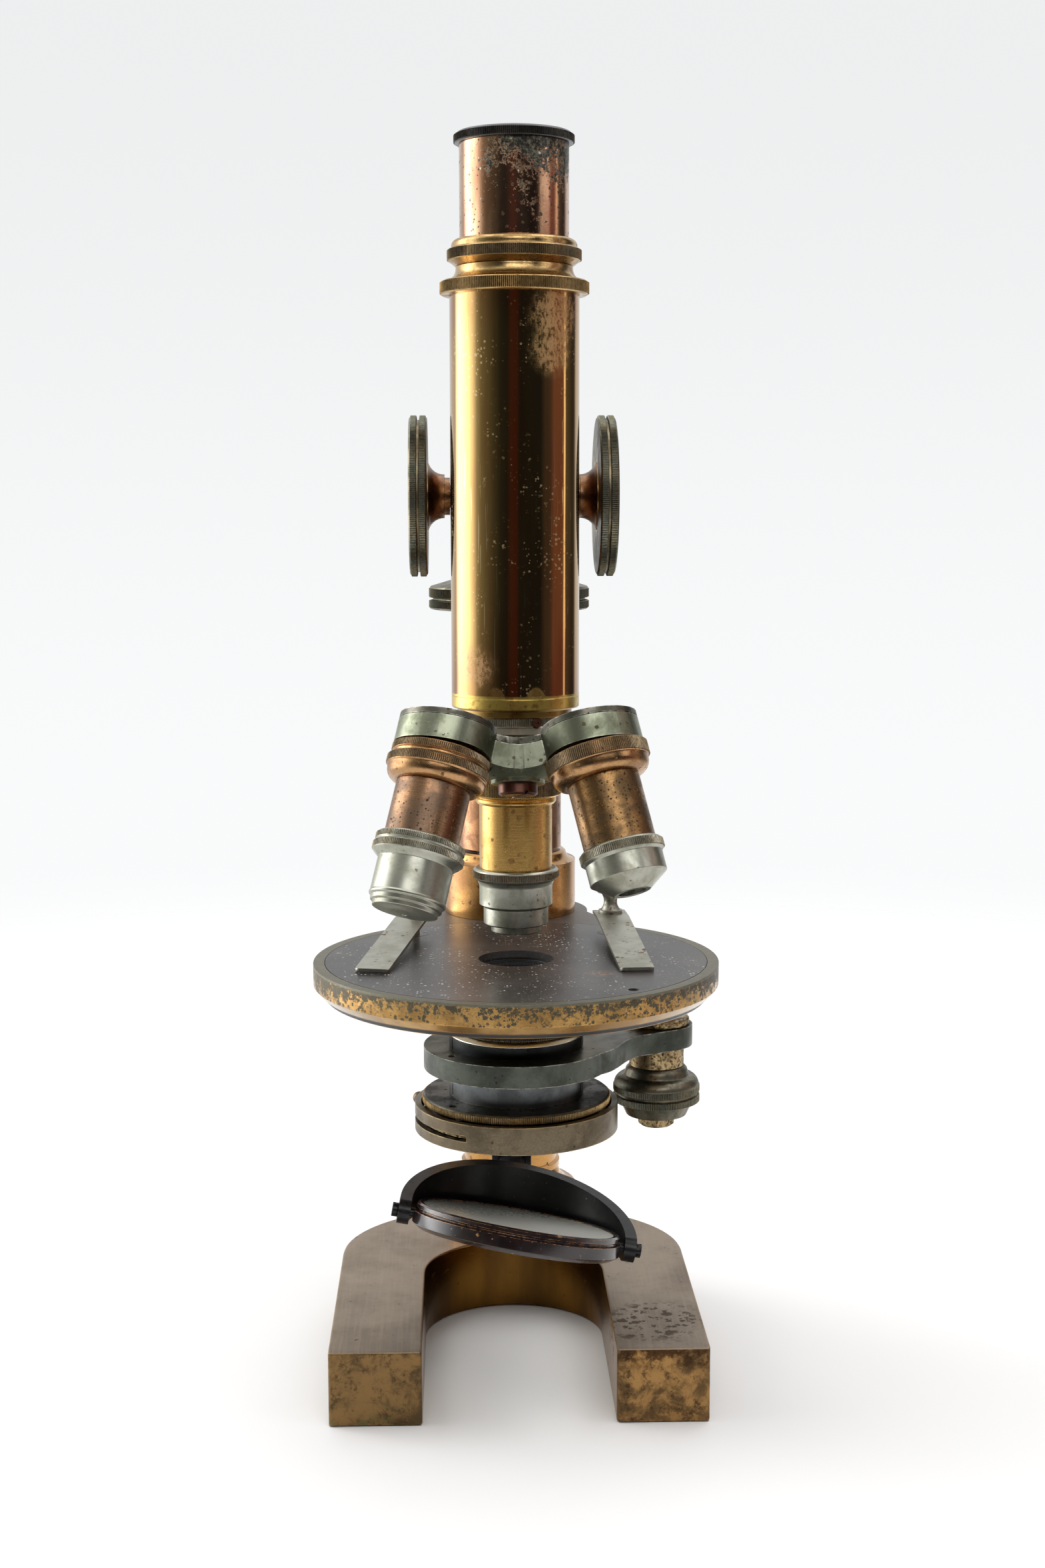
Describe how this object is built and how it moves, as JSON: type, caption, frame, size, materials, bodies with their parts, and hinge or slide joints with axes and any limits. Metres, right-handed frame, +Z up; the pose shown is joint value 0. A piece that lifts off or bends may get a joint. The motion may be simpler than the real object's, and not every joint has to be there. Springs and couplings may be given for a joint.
{
  "type": "compound microscope",
  "caption": "Upright brass compound microscope on a horseshoe foot, with rack focusing, fine focus, triple nosepiece, swing-out condenser with iris, round stage with clips and a tilting mirror.",
  "frame": {"origin": "on the table surface under the middle of the stand's bounding box", "axes": "+Z up along the tube, +Y towards the back of the stand, +X to the observer's right"},
  "size_m": [0.1, 0.1378, 0.3079],
  "materials": {
    "foot_bronze": "cast brass worn to grey-brown, patchy gold on the toes",
    "lacquered_brass": "polished brass under golden lacquer",
    "aged_brass": "brass darkened to a copper brown",
    "stage_brass": "gold lacquer with dark patina patches",
    "dark_bronze": "milled brass tarnished dark grey-green",
    "nickel": "nickel plate dulled to grey-green",
    "steel": "turned steel",
    "spring_steel": "thin steel strip with rust specks",
    "blued_steel": "dark blue-grey steel, lightly pitted",
    "black_lacquer": "gloss black lacquer on brass, worn at the edges",
    "vulcanite": "black hard rubber, dusty",
    "optical_glass": "clear lens glass",
    "mirror_glass": "silvered glass, dusty"
  },
  "bodies": {
    "stand": {"foot": "foot_bronze", "pillar": "lacquered_brass", "mirror_rail": "black_lacquer", "pillar_bolt": "steel", "stage_body": "stage_brass", "stage_plate": "vulcanite", "stage_screws": "steel", "clip_bushes": "stage_brass", "column_socket": "lacquered_brass", "prism_column": "steel", "limb_spring": "steel", "condenser_post": "steel"},
    "limb": {"limb": "aged_brass"},
    "fine_knob": {"fine_knob": "dark_bronze", "fine_screw": "steel"},
    "tube": {"body_tube": "lacquered_brass", "slide_bar": "aged_brass", "rack": "aged_brass", "draw_collar": "aged_brass", "collar_ring": "aged_brass", "nosepiece_mount": "nickel", "dust_cover": "nickel", "turret_screw": "steel"},
    "pinion": {"pinion": "steel", "coarse_knob_left": "dark_bronze", "coarse_knob_right": "dark_bronze"},
    "draw_tube": {"draw_tube": "aged_brass"},
    "eyepiece": {"eyepiece_cap": "black_lacquer", "eyepiece_barrel": "aged_brass", "eyepiece_lenses": "optical_glass"},
    "turret": {"turret": "nickel", "medium_mount": "lacquered_brass", "medium_barrel": "lacquered_brass", "medium_nose": "nickel", "high_mount": "aged_brass", "high_barrel": "aged_brass", "high_nose": "nickel", "low_mount": "aged_brass", "low_barrel": "aged_brass", "low_nose": "nickel", "objective_lenses": "optical_glass"},
    "clip_left": {"clip_blade_left": "spring_steel", "clip_post_left": "spring_steel"},
    "clip_right": {"clip_blade_right": "spring_steel", "clip_post_right": "spring_steel"},
    "carriage": {"condenser_carriage": "dark_bronze"},
    "lift_knob": {"lift_knob": "dark_bronze", "lift_screw": "steel"},
    "condenser_arm": {"condenser_arm": "blued_steel", "split_sleeve": "blued_steel", "condenser_mount": "black_lacquer", "condenser_lenses": "optical_glass", "sleeve_flange": "blued_steel", "iris_case": "dark_bronze", "iris_leaves": "blued_steel"},
    "iris_lever": {"iris_lever": "dark_bronze"},
    "mirror_fork": {"mirror_fork": "black_lacquer", "fork_screws": "black_lacquer"},
    "mirror": {"mirror_case": "black_lacquer", "mirror_glasses": "mirror_glass"}
  },
  "joints": [
    {"name": "fine_knob_turn", "type": "hinge", "parent": "limb", "child": "fine_knob", "pos_m": [0, 0.04728, 0.196], "axis": [0, 0, 1], "range_deg": [-365, 1805]},
    {"name": "limb_slide", "type": "slide", "parent": "stand", "child": "limb", "axis": [0, 0, 1], "range_m": [-0.0005, 0.0025], "deforming": ["limb_spring"]},
    {"name": "tube_slide", "type": "slide", "parent": "limb", "child": "tube", "axis": [0, 0, 1], "range_m": [-0.004, 0.04]},
    {"name": "pinion_turn", "type": "hinge", "parent": "limb", "child": "pinion", "pos_m": [0, 0.00978, 0.2235], "axis": [1, 0, 0], "range_deg": [-470, 50]},
    {"name": "draw_tube_slide", "type": "slide", "parent": "tube", "child": "draw_tube", "axis": [0, 0, 1], "range_m": [-0.018, 0.035]},
    {"name": "eyepiece_lift", "type": "slide", "parent": "draw_tube", "child": "eyepiece", "axis": [0, 0, 1], "range_m": [0, 0.034]},
    {"name": "turret_turn", "type": "hinge", "parent": "tube", "child": "turret", "pos_m": [0, -0.03747, 0.16199], "axis": [0, 0.2588, 0.9659], "continuous": true},
    {"name": "clip_left_turn", "type": "hinge", "parent": "stand", "child": "clip_left", "pos_m": [-0.0256, 0.01328, 0.112], "axis": [0, 0, 1], "range_deg": [-35, 31]},
    {"name": "clip_right_turn", "type": "hinge", "parent": "stand", "child": "clip_right", "pos_m": [0.0256, 0.01328, 0.112], "axis": [0, 0, 1], "range_deg": [-23, 45]},
    {"name": "lift_knob_turn", "type": "hinge", "parent": "carriage", "child": "lift_knob", "pos_m": [0.0369, 0.00228, 0.07], "axis": [0, 0, 1], "range_deg": [-5, 605]},
    {"name": "condenser_lift", "type": "slide", "parent": "stand", "child": "carriage", "axis": [0, 0, 1], "range_m": [0, 0.005]},
    {"name": "arm_swing", "type": "hinge", "parent": "carriage", "child": "condenser_arm", "pos_m": [0.0369, 0.00228, 0.086], "axis": [0, 0, 1], "range_deg": [0, 100]},
    {"name": "iris_turn", "type": "hinge", "parent": "condenser_arm", "child": "iris_lever", "pos_m": [0, -0.01772, 0.0705], "axis": [0, 0, 1], "range_deg": [-4, 86]},
    {"name": "mirror_fork_turn", "type": "hinge", "parent": "stand", "child": "mirror_fork", "pos_m": [0, 0.03228, 0.0403], "axis": [0, 1, 0], "range_deg": [-43, 22]},
    {"name": "mirror_tilt", "type": "hinge", "parent": "mirror_fork", "child": "mirror", "pos_m": [0, -0.01772, 0.0403], "axis": [0.9826, 0, -0.1857], "continuous": true}
  ],
  "couplings": [
    {"joint": "fine_knob_turn", "follows": "limb_slide", "rad_per_m": 12566},
    {"joint": "pinion_turn", "follows": "tube_slide", "rad_per_m": -204.08},
    {"joint": "lift_knob_turn", "follows": "condenser_lift", "rad_per_m": 2094.4}
  ]
}
